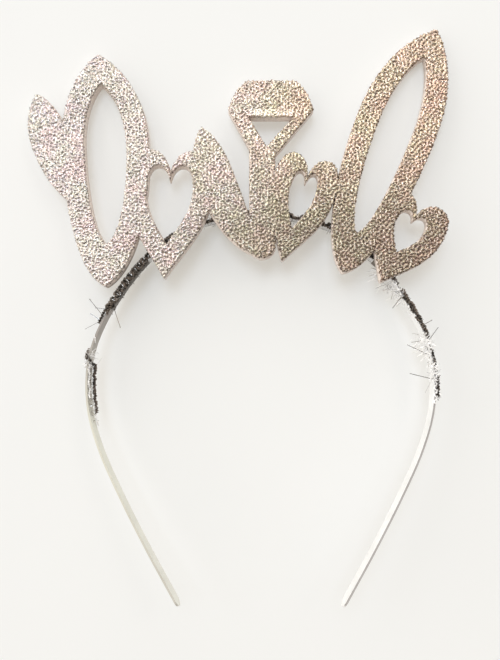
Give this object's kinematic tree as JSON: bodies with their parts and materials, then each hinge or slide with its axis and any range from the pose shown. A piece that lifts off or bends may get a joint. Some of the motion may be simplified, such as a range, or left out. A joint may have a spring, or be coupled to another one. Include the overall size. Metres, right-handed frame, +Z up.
{
  "type": "bachelorette tiara",
  "caption": "Open headband tiara lying on its back, with tinsel wound round its upper arch and a glitter sheet of leaves, hearts and a gem outline in front of the crown.",
  "frame": {"origin": "on the surface that the tiara lies on, under the middle of its bounding box", "axes": "+Z up, out of the glitter front; +Y from the band's open tips towards the crown and the leaf tips; +X to the right as seen from the front"},
  "size_m": [0.1586, 0.212, 0.0208],
  "materials": {
    "band_metal": "satin",
    "tinsel": "gloss",
    "glitter_sheet": "gloss",
    "clear_glue": "gloss"
  },
  "bodies": {
    "root": {"headband": "band_metal", "tinsel_wrap_left_side": "tinsel", "tinsel_wrap_left": "tinsel", "tinsel_wrap_crown": "tinsel", "tinsel_wrap_right": "tinsel", "tinsel_wrap_right_side": "tinsel", "topper": "glitter_sheet", "glue_bead_left": "clear_glue", "glue_bead_middle": "clear_glue", "glue_bead_right": "clear_glue"}
  },
  "joints": []
}
